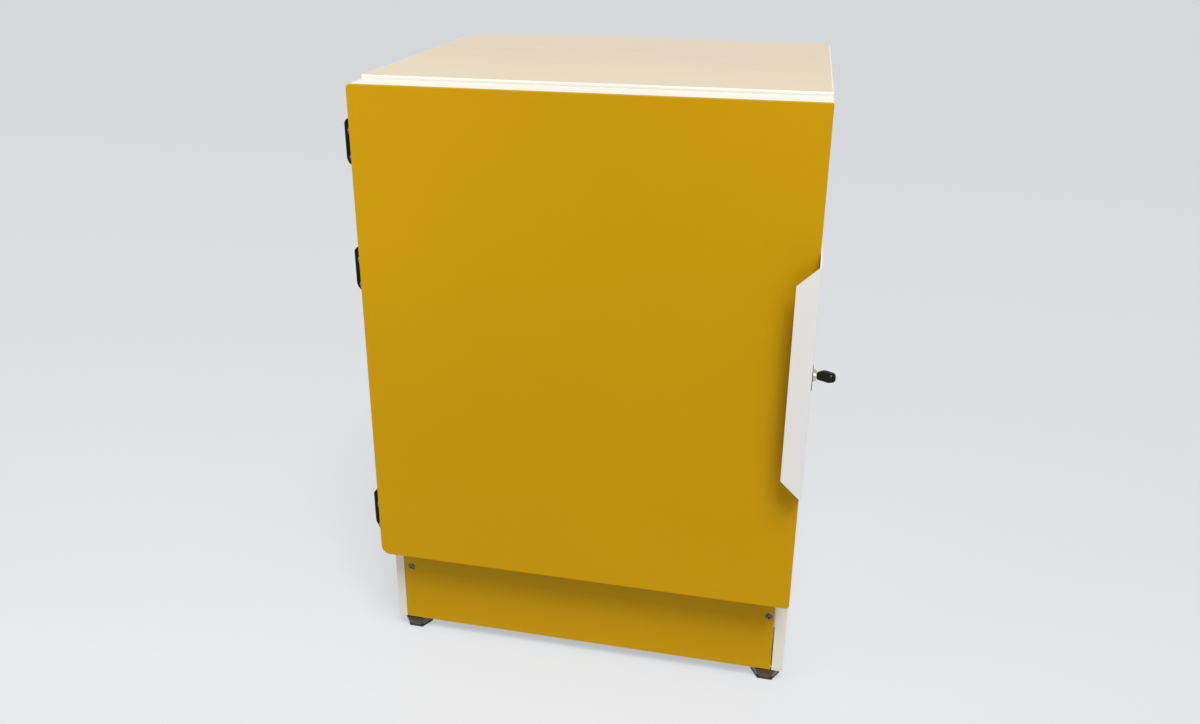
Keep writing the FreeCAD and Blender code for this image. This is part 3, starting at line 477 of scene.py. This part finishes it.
def timber(name, colour):
    """Planed softwood: growth rings and short fibres along X."""
    finish = Finish(name, 0.6, specular=0.3)
    wave = finish.tree.nodes.new("ShaderNodeTexWave")
    wave.wave_type = "RINGS"
    wave.rings_direction = "X"
    wave.inputs["Scale"].default_value = 14.0
    wave.inputs["Distortion"].default_value = 3.0
    wave.inputs["Detail"].default_value = 3.0
    finish.put(wave.inputs["Vector"], finish.place(TIMBER_STRETCH))
    fibres = finish.noise(1.2 * MM, detail=4, stretch=TIMBER_STRETCH)
    rings = finish.fit(wave.outputs["Fac"], 0.2, 0.9)
    tone = finish.blend(rings, shade(colour, 1.1), shade(colour, 0.72))
    tone = finish.blend(finish.fit(fibres, 0.4, 0.8, 0, 0.6), tone, shade(colour, 0.6))
    finish.colour(tone)
    finish.rough(finish.fit(fibres, 0.3, 0.8, 0.5, 0.7))
    finish.bump(fibres, 0.1 * MM)
    return finish.material


def chipboard(name, colour, chip):
    """Pressed board of chips, each of its own tone."""
    finish = Finish(name, 0.8, specular=0.2)
    chips = finish.cells(chip, stretch=(2.2, 1, 1), output="Color")
    pick = finish.tree.nodes.new("ShaderNodeSeparateColor")
    finish.put(pick.inputs["Color"], chips)
    tone = finish.blend(pick.outputs["Red"], shade(colour, 0.65), shade(colour, 1.3))
    finish.colour(tone)
    finish.rough(finish.fit(pick.outputs["Green"], 0, 1, 0.7, 0.9))
    finish.bump(pick.outputs["Blue"], 0.2 * MM)
    return finish.material


# Each finish: the function that makes it, its colour and its settings.
FINISHES = {
    "yellow_paint": (powder_coat, (0.516, 0.278, 0.0010), dict(roughness=0.42, specular=0.08)),
    # One white paint in two tones: the casing's copy is lighter, painted light for its top lit from
    # above, and the white paint is darker, painted shade for the strips under the door.
    "white_paint": (powder_coat, (0.72, 0.670, 0.585), dict(roughness=0.42, specular=0.35)),
    "casing_paint": (powder_coat, (0.85, 0.820, 0.730), dict(roughness=0.42, specular=0.35)),
    "handle_paint": (powder_coat, (0.715, 0.700, 0.665),
                     dict(roughness=0.40, specular=0.35, worn=(0.80, 0.79, 0.77))),
    "hinge_paint": (powder_coat, (0.004, 0.004, 0.0035),
                    dict(roughness=0.62, specular=0.08, peel=0.09 * MM, worn=(0.02, 0.02, 0.018))),
    "cream_laminate": (laminate, (0.715, 0.602, 0.447), dict()),
    "white_edging": (edging_plastic, (0.88, 0.82, 0.71), dict()),
    "board": (chipboard, (0.45, 0.33, 0.20), dict(chip=4.0 * MM)),
    "infill_board": (chipboard, (0.50, 0.42, 0.30), dict(chip=2.5 * MM)),
    "timber": (timber, (0.55, 0.38, 0.20), dict()),
    "lead": (lead_sheet, (0.22, 0.23, 0.25), dict()),
    "stainless_steel": (brushed_steel, (0.60, 0.60, 0.60), dict()),
    "zinc_steel": (zinc, (0.55, 0.56, 0.57), dict()),
    "dark_steel": (dark_metal, (0.14, 0.11, 0.065), dict(roughness=0.38, bright=(0.5, 0.48, 0.45))),
    "foot_steel": (dark_metal, (0.085, 0.062, 0.040),
                   dict(roughness=0.30, bright=(0.42, 0.36, 0.30))),
    "rivet_steel": (plated, (0.75, 0.75, 0.76), dict(roughness=0.34)),
    "black_plastic": (moulded, (0.02, 0.02, 0.02), dict(roughness=0.55)),
    "black_rubber": (moulded, (0.02, 0.02, 0.02),
                     dict(roughness=0.72, grain=0.6 * MM, depth=0.03 * MM)),
    "key_plastic": (moulded, (0.006, 0.0055, 0.003),
                    dict(roughness=0.34, grain=0.5 * MM, depth=0.01 * MM, specular=0.18)),
}
NICKEL_COLOUR = (0.60, 0.57, 0.50)
NICKEL_ROUGHNESS = 0.22
LOCK_PLATE = 2.3 * MM
LOCK_PLATE_COLOUR = (0.06, 0.055, 0.048)


def make_finishes():
    """One finish for each material slot of the record, and one more for the door's casing: a lighter copy
    of the white paint, painted light for its top, which is lit from above.
    """
    finishes = {}
    for name, (make, colour, settings) in FINISHES.items():
        finishes[name] = make(name, colour, **settings)
    lock_plate_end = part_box("handle")[1].x + LOCK_PLATE
    finishes["nickel"] = plated("nickel", NICKEL_COLOUR, NICKEL_ROUGHNESS,
                                darker_inwards=(lock_plate_end, LOCK_PLATE_COLOUR))
    return finishes


def dress_nodes(finishes):
    """Gives every piece of the frame the finish of its slot. The door's casing gets the lighter copy of
    the white paint, which is painted light.
    """
    for part in frame["record"]["subparts"]:
        node = frame["nodes"][part["node"]]
        finish = "casing_paint" if part["node"] == "door_casing" else part["material_slot"]
        node.data.materials.clear()
        node.data.materials.append(finishes[finish])


# Rounded edges on the frame's own pieces

EDGE_ROUNDS = {
    "side_panel_left": 1.2 * MM,
    "side_panel_right": 1.2 * MM,
    "back_panel": 0.3 * MM,
    "base_tray": 0.5 * MM,
    "roof_tray": 0.5 * MM,
    "plinth_panel": 0.8 * MM,
    "plinth_brackets": 0.4 * MM,
    "plinth_screws": 0.35 * MM,
    "worktop_edging": 0.4 * MM,
    "shelf": 0.6 * MM,
    "shelf_pegs": 0.6 * MM,
    "lock_keeper": 0.4 * MM,
    "hinge_screws_cabinet": 0.35 * MM,
    "hinge_screws_door": 0.35 * MM,
    "door_casing": 0.4 * MM,
    "door_inner_panel": 0.3 * MM,
    "handle": 0.6 * MM,
    "handle_screws": 0.35 * MM,
    "lock_housing": 0.4 * MM,
    "lock_plug": 0.25 * MM,
    "lock_cam": 0.4 * MM,
    "cam_screw": 0.3 * MM,
    "key_blade": 0.2 * MM,
    "key_head": 1.2 * MM,
    "foot_brackets": 0.4 * MM,
}
HINGE_ROUND = 1.4 * MM
FOOT_PAD_ROUND = 1.6 * MM
WELD_REACH = 0.01 * MM
FLAT_WITHIN = 0.5
ROUND_ABOVE = 32.0


def soften(node, width, segments=3):
    """Rounds a piece's sharp edges with modifiers, which leave its own mesh as it is."""
    weld = node.modifiers.new("weld", "WELD")
    weld.merge_threshold = WELD_REACH
    merge = node.modifiers.new("merge_flat_faces", "DECIMATE")
    merge.decimate_type = "DISSOLVE"
    merge.angle_limit = math.radians(FLAT_WITHIN)
    bevel = node.modifiers.new("bevel", "BEVEL")
    bevel.width = width
    bevel.segments = segments
    bevel.limit_method = "ANGLE"
    bevel.angle_limit = math.radians(ROUND_ABOVE)
    normals = node.modifiers.new("normals", "WEIGHTED_NORMAL")
    normals.keep_sharp = False


def soften_nodes():
    """Rounds the edges of the pieces named above, the hinge leaves and the foot pads."""
    for name, width in EDGE_ROUNDS.items():
        soften(frame["nodes"][name], width)
    for name, node in frame["nodes"].items():
        if name.startswith("hinge_") and name.endswith("_leaf"):
            soften(node, HINGE_ROUND, segments=4)
        if name.startswith("foot_pad_"):
            soften(node, FOOT_PAD_ROUND)


# Finer pieces, built as closed skins

SMOOTH_BELOW = 35.0


def loft(rings, loop=False):
    """A closed skin through a row of rings that have the same number of points."""
    shape = bmesh.new()
    rows = [[shape.verts.new(point) for point in ring] for ring in rings]
    pairs = list(zip(rows, rows[1:]))
    if loop:
        pairs.append((rows[-1], rows[0]))
    count = len(rows[0])
    for low, high in pairs:
        for i in range(count):
            j = (i + 1) % count
            shape.faces.new((low[i], low[j], high[j], high[i]))
    if not loop:
        shape.faces.new(rows[0][::-1])
        shape.faces.new(rows[-1])
    return shape


def add_piece(name, shape, body, slot, finishes, replaced=None):
    """Makes a skin into a piece that rides on a body, and may stand for one node."""
    bmesh.ops.recalc_face_normals(shape, faces=shape.faces)
    mesh = bpy.data.meshes.new(name)
    shape.to_mesh(mesh)
    shape.free()
    mesh.shade_smooth()
    mesh.set_sharp_from_angle(angle=math.radians(SMOOTH_BELOW))
    mesh.materials.append(finishes[slot])
    piece = bpy.data.objects.new(name, mesh)
    bpy.context.collection.objects.link(piece)
    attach(piece, body)
    if replaced:
        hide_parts(replaced)


def circle(centre, z, radius, count):
    """A level ring of points."""
    x, y = centre
    turns = [2 * math.pi * i / count for i in range(count)]
    return [(x + radius * math.cos(t), y + radius * math.sin(t), z) for t in turns]


# Levelling feet: a six-sided foot with rounded corners on a threaded stud

FOOT_PLACES = ("front_left", "front_right", "rear_left", "rear_right")
FOOT_SIDES = 6
FOOT_ARC_POINTS = 7
FOOT_CORNER = 8.0 * MM
FOOT_RIM = 2.5 * MM
FOOT_EDGE = 0.7 * MM
FOOT_BASE_RADIUS = 22.0 * MM
FOOT_BODY_HEIGHT = 16.4 * MM
FOOT_SPIGOT = 2.5 * MM
FOOT_SPIGOT_RADIUS = 4.0 * MM
FOOT_CHAMFER = 1.2 * MM
THREAD_CREST = 6.0 * MM
THREAD_ROOT = 5.1 * MM
THREAD_PITCH = 1.75 * MM
THREAD_STEPS = 6


def rounded_six_sides(centre, z, radius):
    """A level six-sided ring with arcs for corners, two of them along X."""
    x, y = centre
    side = math.pi / FOOT_SIDES
    inner = radius - FOOT_CORNER / math.cos(side)
    points = []
    for i in range(FOOT_SIDES):
        corner = 2 * side * i
        for k in range(FOOT_ARC_POINTS):
            turn = corner + side * (2 * k / (FOOT_ARC_POINTS - 1) - 1)
            points.append((x + inner * math.cos(corner) + FOOT_CORNER * math.cos(turn),
                           y + inner * math.sin(corner) + FOOT_CORNER * math.sin(turn), z))
    return points


def thread_ring(centre, z, share, count):
    """One level ring of a thread, whose ridge climbs as it goes round. Share 0 is all root."""
    x, y = centre
    points = []
    for i in range(count):
        turn = 2 * math.pi * i / count
        phase = (z / THREAD_PITCH - i / count) % 1.0
        ridge = 1 - abs(2 * phase - 1)
        radius = THREAD_ROOT + (THREAD_CREST - THREAD_ROOT) * ridge * share
        points.append((x + radius * math.cos(turn), y + radius * math.sin(turn), z))
    return points


def add_foot(place, finishes):
    """One foot with its stud."""
    low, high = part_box("foot_stud_" + place)
    centre = ((low.x + high.x) / 2, (low.y + high.y) / 2)
    rim_radius = (high.x - low.x) / 2 + FOOT_CORNER * (1 / math.cos(math.pi / FOOT_SIDES) - 1)
    count = FOOT_SIDES * FOOT_ARC_POINTS
    base = low.z + FOOT_SPIGOT
    top = base + FOOT_BODY_HEIGHT
    rings = [
        circle(centre, low.z, FOOT_SPIGOT_RADIUS, count),
        circle(centre, base, FOOT_SPIGOT_RADIUS, count),
        rounded_six_sides(centre, base, FOOT_BASE_RADIUS - FOOT_EDGE),
        rounded_six_sides(centre, base + FOOT_EDGE, FOOT_BASE_RADIUS),
        rounded_six_sides(centre, top - FOOT_RIM - FOOT_EDGE, rim_radius - FOOT_EDGE / 2),
        rounded_six_sides(centre, top - FOOT_RIM + FOOT_EDGE, rim_radius),
        rounded_six_sides(centre, top - FOOT_EDGE, rim_radius),
        rounded_six_sides(centre, top - FOOT_EDGE / 3, rim_radius - FOOT_EDGE / 3),
        rounded_six_sides(centre, top, rim_radius - FOOT_EDGE),
        circle(centre, top, THREAD_ROOT, count),
    ]
    step = THREAD_PITCH / THREAD_STEPS
    stud_steps = int((high.z - FOOT_CHAMFER - top) / step)
    for i in range(1, stud_steps + 1):
        z = top + i * step
        share = min(1.0, i / THREAD_STEPS, (stud_steps - i) / THREAD_STEPS)
        rings.append(thread_ring(centre, z, share, count))
    rings.append(circle(centre, high.z, THREAD_ROOT - FOOT_CHAMFER / 2, count))
    add_piece("foot_" + place, loft(rings), "foot_" + place, "foot_steel", finishes,
              "foot_stud_" + place)


# Door seal: a rounded bulb on a flat foot, mitred at its corners

SEAL_WIDTH = 10.0 * MM
SEAL_FOOT = 0.9 * MM
SEAL_EDGE = 0.3 * MM
SEAL_BULB_RADIUS = 2.6 * MM
SEAL_BULB_POINTS = 13


def seal_section(depth):
    """The seal's section as (across, outwards) points."""
    middle = SEAL_WIDTH / 2
    points = [(SEAL_EDGE, 0), (0, SEAL_EDGE), (0, SEAL_FOOT - SEAL_EDGE), (SEAL_EDGE, SEAL_FOOT)]
    for i in range(SEAL_BULB_POINTS):
        turn = math.pi * (1 - i / (SEAL_BULB_POINTS - 1))
        points.append((middle + SEAL_BULB_RADIUS * math.cos(turn),
                       SEAL_FOOT + (depth - SEAL_FOOT) * math.sin(turn)))
    points += [(SEAL_WIDTH - SEAL_EDGE, SEAL_FOOT), (SEAL_WIDTH, SEAL_FOOT - SEAL_EDGE),
               (SEAL_WIDTH, SEAL_EDGE), (SEAL_WIDTH - SEAL_EDGE, 0)]
    return points


def add_door_seal(finishes):
    """The seal around the cabinet's mouth."""
    low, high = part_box("door_seal")
    section = seal_section(high.y - low.y)
    rings = []
    for side, up in ((-1, -1), (1, -1), (1, 1), (-1, 1)):
        x = low.x if side < 0 else high.x
        z = low.z if up < 0 else high.z
        rings.append([(x - side * across, high.y - out, z - up * across) for across, out in section])
    add_piece("door_seal_bulb", loft(rings, loop=True), "cabinet", "black_rubber", finishes,
              "door_seal")


# Weld beads where the liner's sheets meet

BEAD_RADIUS = 1.3 * MM
BEAD_RIPPLE = 0.22
BEAD_WAVE = 3.2 * MM
BEAD_STEP = 1.6 * MM
BEAD_POINTS = 8
BEAD_DRIFT = 0.37


def bead(start, end):
    """A rippled bead of weld from one point to another, along one axis."""
    start, end = Vector(start), Vector(end)
    run = end - start
    along = run.normalized()
    across = along.orthogonal().normalized()
    up = along.cross(across)
    steps = max(2, round(run.length / BEAD_STEP))
    rings = []
    for i in range(steps + 1):
        wave = math.sin(2 * math.pi * i * BEAD_STEP / BEAD_WAVE + i * i * BEAD_DRIFT)
        radius = BEAD_RADIUS * (1 - BEAD_RIPPLE * (0.5 + 0.5 * wave))
        middle = start + run * (i / steps)
        turns = [2 * math.pi * k / BEAD_POINTS for k in range(BEAD_POINTS)]
        rings.append([middle + radius * (across * math.cos(t) + up * math.sin(t)) for t in turns])
    return loft(rings)


def add_weld_beads(finishes):
    """Beads along the inner corners of the liner."""
    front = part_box("liner_left")[0].y
    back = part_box("liner_back")[0].y
    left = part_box("liner_left")[1].x
    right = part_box("liner_right")[0].x
    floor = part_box("liner_base")[1].z
    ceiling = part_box("liner_top")[0].z
    runs = {
        "floor_left": ((left, front, floor), (left, back, floor)),
        "floor_right": ((right, front, floor), (right, back, floor)),
        "ceiling_left": ((left, front, ceiling), (left, back, ceiling)),
        "ceiling_right": ((right, front, ceiling), (right, back, ceiling)),
        "back_left": ((left, back, floor), (left, back, ceiling)),
        "back_right": ((right, back, floor), (right, back, ceiling)),
        "back_floor": ((left, back, floor), (right, back, floor)),
        "back_ceiling": ((left, back, ceiling), (right, back, ceiling)),
    }
    for name, (start, end) in runs.items():
        add_piece("weld_bead_" + name, bead(start, end), "cabinet", "stainless_steel", finishes)


def add_finer_pieces(finishes):
    """The feet and the seal, which the frame has only in outline, and the weld beads."""
    for place in FOOT_PLACES:
        add_foot(place, finishes)
    add_door_seal(finishes)
    add_weld_beads(finishes)


make_camera()
make_floor()
make_light()
finishes = make_finishes()
dress_nodes(finishes)
soften_nodes()
add_finer_pieces(finishes)
